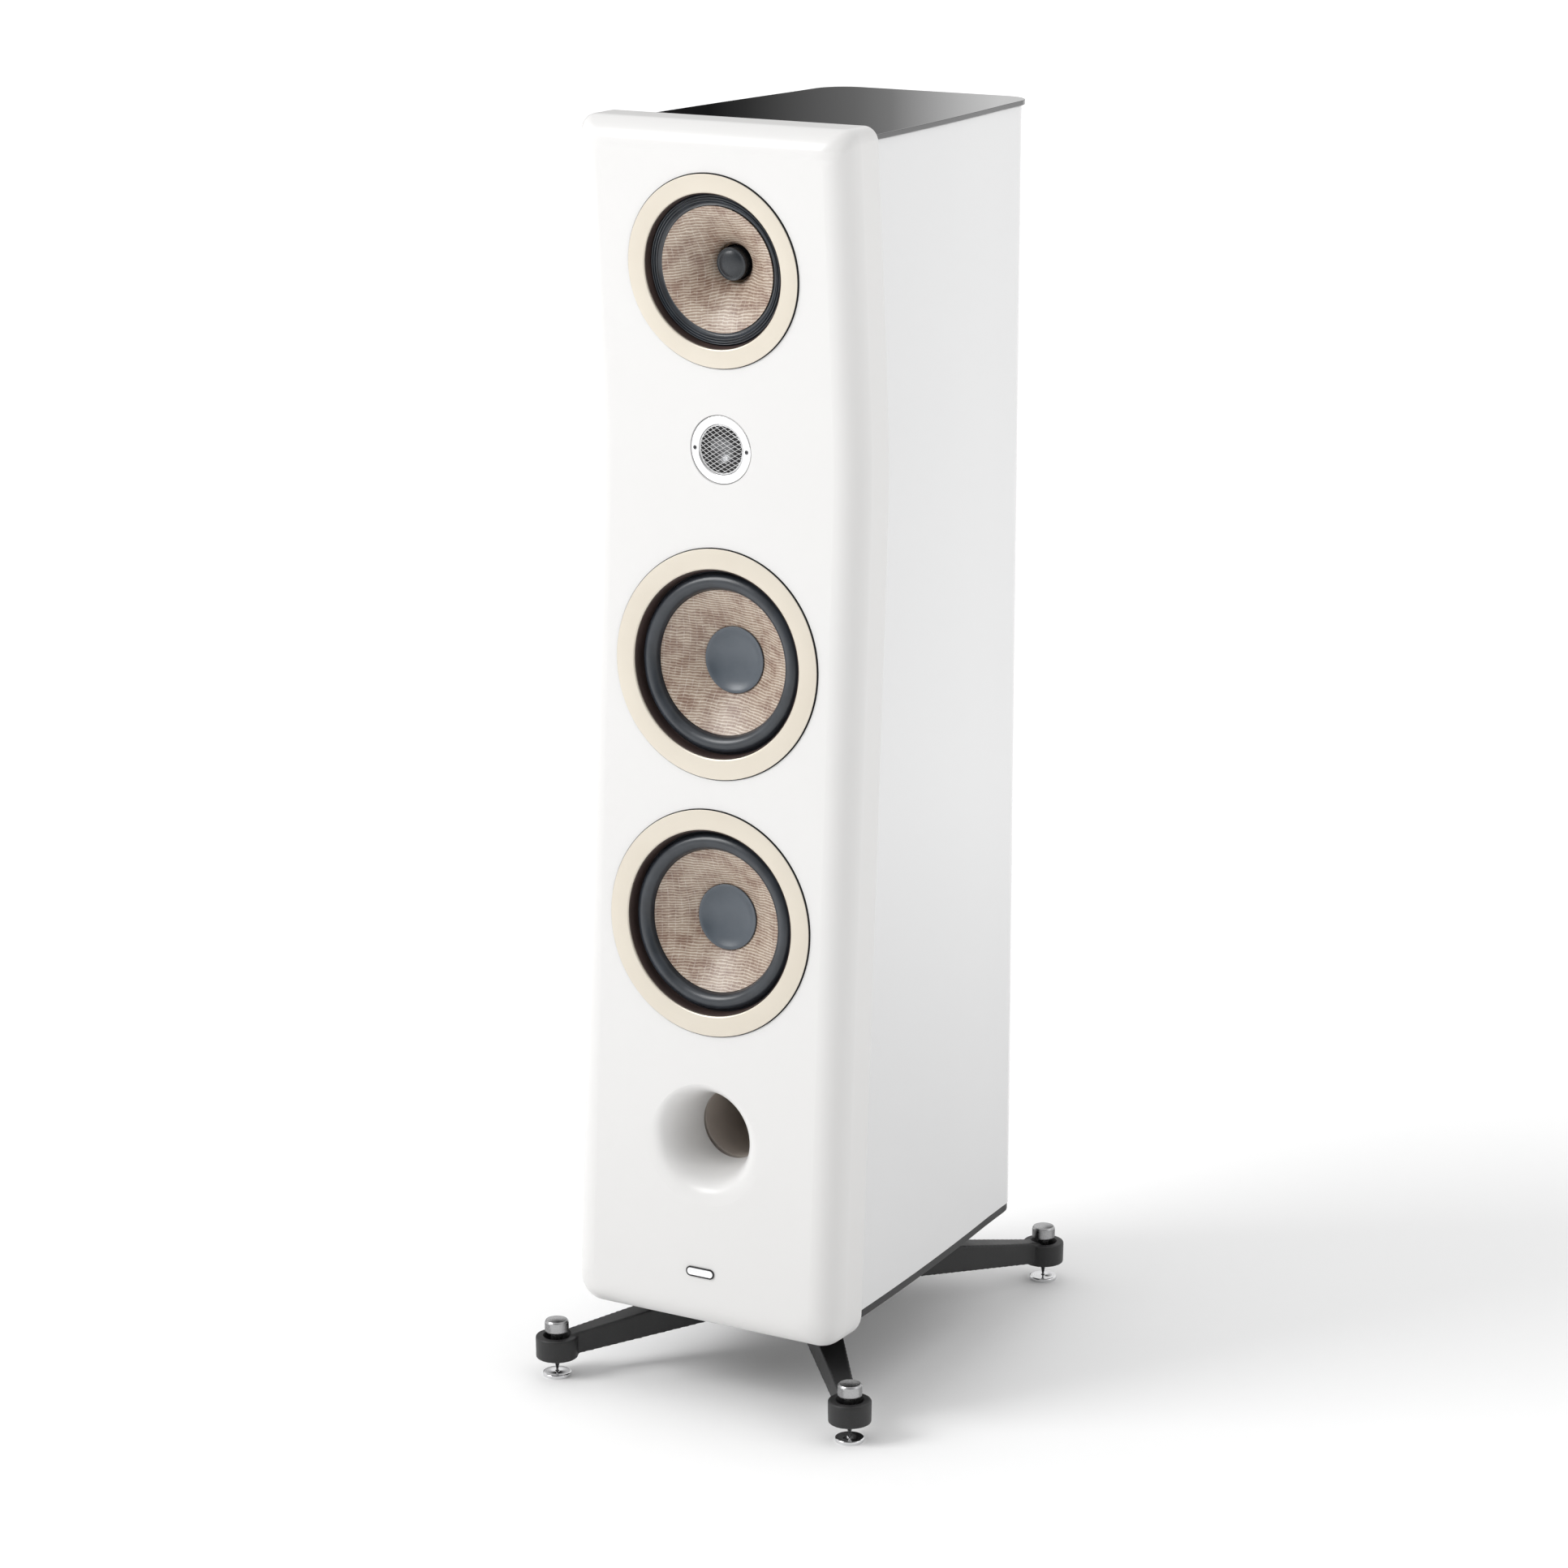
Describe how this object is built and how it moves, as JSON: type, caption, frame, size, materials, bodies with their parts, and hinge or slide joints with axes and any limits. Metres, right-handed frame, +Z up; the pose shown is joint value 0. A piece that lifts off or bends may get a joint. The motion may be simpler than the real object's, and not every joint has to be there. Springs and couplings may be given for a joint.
{
  "type": "floorstanding speaker",
  "caption": "Tall floor-standing loudspeaker with a folded white baffle, woven cones, front reflex port, black glass top and a splayed cast base on height-adjustable spikes.",
  "frame": {"origin": "on the floor, under the centre of the footprint", "axes": "+Z up, the baffle faces -Y, +X is to the right for someone facing the baffle"},
  "size_m": [0.383, 0.537, 1.267],
  "materials": {
    "beryllium_dome": "satin metal foil",
    "black_cast_base": "black textured powder coat",
    "black_glass": "gloss black, opaque",
    "black_knob": "smoked black",
    "brushed_steel": "brushed",
    "cast_basket": "die cast, dark grey powder coat",
    "champagne_aluminium": "satin anodised, champagne",
    "crossover": "circuit board with components",
    "ferrite": "dark grey ferrite",
    "fibreboard": "raw medium-density fibreboard",
    "flax_cone": "woven flax skins, satin",
    "grille_mesh": "perforated sheet",
    "phase_plug_black": "satin black",
    "plated_brass": "gold plated",
    "polished_steel": "polished",
    "port_plastic": "fine texture",
    "red_knob": "clear red",
    "silver_plate": "polished silver",
    "slate_cap": "satin slate grey",
    "spider_cloth": "impregnated woven cloth",
    "surround_rubber": "satin",
    "terminal_plate_plastic": "satin black",
    "voice_coil_former": "foil former with copper winding",
    "white_gloss_lacquer": "curved fibreboard, high-gloss white lacquer",
    "white_satin_lacquer": "moulded polymer, satin white lacquer"
  },
  "bodies": {
    "cabinet": {"base_arm_front_left": "black_cast_base", "base_arm_front_right": "black_cast_base", "base_arm_rear_left": "black_cast_base", "base_arm_rear_right": "black_cast_base", "base_hub": "black_cast_base", "base_plate": "black_cast_base", "bottom_board": "fibreboard", "cabinet_wrap": "white_gloss_lacquer", "chamber_divider": "fibreboard", "crossover_board": "crossover", "front_badge": "polished_steel", "front_baffle": "white_satin_lacquer", "lower_woofer_basket": "cast_basket", "lower_woofer_magnet": "ferrite", "lower_woofer_spider": "spider_cloth", "lower_woofer_surround": "surround_rubber", "lower_woofer_trim_ring": "champagne_aluminium", "lower_woofer_yoke": "brushed_steel", "midrange_basket": "cast_basket", "midrange_magnet": "ferrite", "midrange_phase_plug": "phase_plug_black", "midrange_spider": "spider_cloth", "midrange_surround": "surround_rubber", "midrange_trim_ring": "champagne_aluminium", "midrange_yoke": "brushed_steel", "port_tube": "port_plastic", "terminal_plate": "terminal_plate_plastic", "terminal_post_black": "plated_brass", "terminal_post_red": "plated_brass", "top_board": "fibreboard", "top_glass": "black_glass", "tweeter_faceplate": "silver_plate", "tweeter_grille": "grille_mesh", "tweeter_magnet": "ferrite", "upper_woofer_basket": "cast_basket", "upper_woofer_magnet": "ferrite", "upper_woofer_spider": "spider_cloth", "upper_woofer_surround": "surround_rubber", "upper_woofer_trim_ring": "champagne_aluminium", "upper_woofer_yoke": "brushed_steel", "window_brace": "fibreboard"},
    "upper_woofer_moving": {"upper_woofer_cone": "flax_cone", "upper_woofer_dust_cap": "slate_cap", "upper_woofer_voice_coil": "voice_coil_former"},
    "lower_woofer_moving": {"lower_woofer_cone": "flax_cone", "lower_woofer_dust_cap": "slate_cap", "lower_woofer_voice_coil": "voice_coil_former"},
    "midrange_moving": {"midrange_cone": "flax_cone", "midrange_voice_coil": "voice_coil_former"},
    "tweeter_moving": {"tweeter_dome": "beryllium_dome"},
    "red_terminal_knob": {"terminal_knob_red": "red_knob"},
    "black_terminal_knob": {"terminal_knob_black": "black_knob"},
    "pad_front_left": {"foot_pad_front_left": "polished_steel"},
    "screw_front_left": {"foot_screw_front_left": "brushed_steel"},
    "pad_front_right": {"foot_pad_front_right": "polished_steel"},
    "screw_front_right": {"foot_screw_front_right": "brushed_steel"},
    "pad_rear_left": {"foot_pad_rear_left": "polished_steel"},
    "screw_rear_left": {"foot_screw_rear_left": "brushed_steel"},
    "pad_rear_right": {"foot_pad_rear_right": "polished_steel"},
    "screw_rear_right": {"foot_screw_rear_right": "brushed_steel"}
  },
  "joints": [
    {"name": "upper_woofer_stroke", "type": "slide", "parent": "cabinet", "child": "upper_woofer_moving", "axis": [0, -0.9984, 0.0562], "range_m": [-0.007, 0.007], "stiffness_N_per_m": 1800, "deforming": ["upper_woofer_surround", "upper_woofer_spider"]},
    {"name": "lower_woofer_stroke", "type": "slide", "parent": "cabinet", "child": "lower_woofer_moving", "axis": [0, -0.9984, 0.0573], "range_m": [-0.007, 0.007], "stiffness_N_per_m": 1800, "deforming": ["lower_woofer_surround", "lower_woofer_spider"]},
    {"name": "midrange_stroke", "type": "slide", "parent": "cabinet", "child": "midrange_moving", "axis": [0, -0.9963, -0.0854], "range_m": [-0.003, 0.003], "stiffness_N_per_m": 1500, "deforming": ["midrange_surround", "midrange_spider"]},
    {"name": "tweeter_stroke", "type": "slide", "parent": "cabinet", "child": "tweeter_moving", "axis": [0, -0.9997, -0.0255], "range_m": [-0.0004, 0.0004], "stiffness_N_per_m": 800},
    {"name": "foot_height_front_left", "type": "slide", "parent": "cabinet", "child": "pad_front_left", "axis": [0, 0, 1], "range_m": [-0.006, 0.006]},
    {"name": "foot_turn_front_left", "type": "hinge", "parent": "pad_front_left", "child": "screw_front_left", "pos_m": [-0.17, -0.247, 0.03], "axis": [0, 0, 1], "range_deg": [-1445, 1445]},
    {"name": "foot_height_front_right", "type": "slide", "parent": "cabinet", "child": "pad_front_right", "axis": [0, 0, 1], "range_m": [-0.006, 0.006]},
    {"name": "foot_turn_front_right", "type": "hinge", "parent": "pad_front_right", "child": "screw_front_right", "pos_m": [0.17, -0.247, 0.03], "axis": [0, 0, 1], "range_deg": [-1445, 1445]},
    {"name": "foot_height_rear_left", "type": "slide", "parent": "cabinet", "child": "pad_rear_left", "axis": [0, 0, 1], "range_m": [-0.006, 0.006]},
    {"name": "foot_turn_rear_left", "type": "hinge", "parent": "pad_rear_left", "child": "screw_rear_left", "pos_m": [-0.126, 0.247, 0.03], "axis": [0, 0, 1], "range_deg": [-1445, 1445]},
    {"name": "foot_height_rear_right", "type": "slide", "parent": "cabinet", "child": "pad_rear_right", "axis": [0, 0, 1], "range_m": [-0.006, 0.006]},
    {"name": "foot_turn_rear_right", "type": "hinge", "parent": "pad_rear_right", "child": "screw_rear_right", "pos_m": [0.126, 0.247, 0.03], "axis": [0, 0, 1], "range_deg": [-1445, 1445]},
    {"name": "red_terminal_turn", "type": "hinge", "parent": "cabinet", "child": "red_terminal_knob", "pos_m": [0.024, 0.23, 0.21], "axis": [0, 1, 0], "range_deg": [0, 1440]},
    {"name": "black_terminal_turn", "type": "hinge", "parent": "cabinet", "child": "black_terminal_knob", "pos_m": [-0.024, 0.23, 0.21], "axis": [0, 1, 0], "range_deg": [0, 1440]}
  ],
  "couplings": [
    {"joint": "foot_turn_front_left", "follows": "foot_height_front_left", "rad_per_m": 4188.8},
    {"joint": "foot_turn_front_right", "follows": "foot_height_front_right", "rad_per_m": 4188.8},
    {"joint": "foot_turn_rear_left", "follows": "foot_height_rear_left", "rad_per_m": 4188.8},
    {"joint": "foot_turn_rear_right", "follows": "foot_height_rear_right", "rad_per_m": 4188.8}
  ]
}
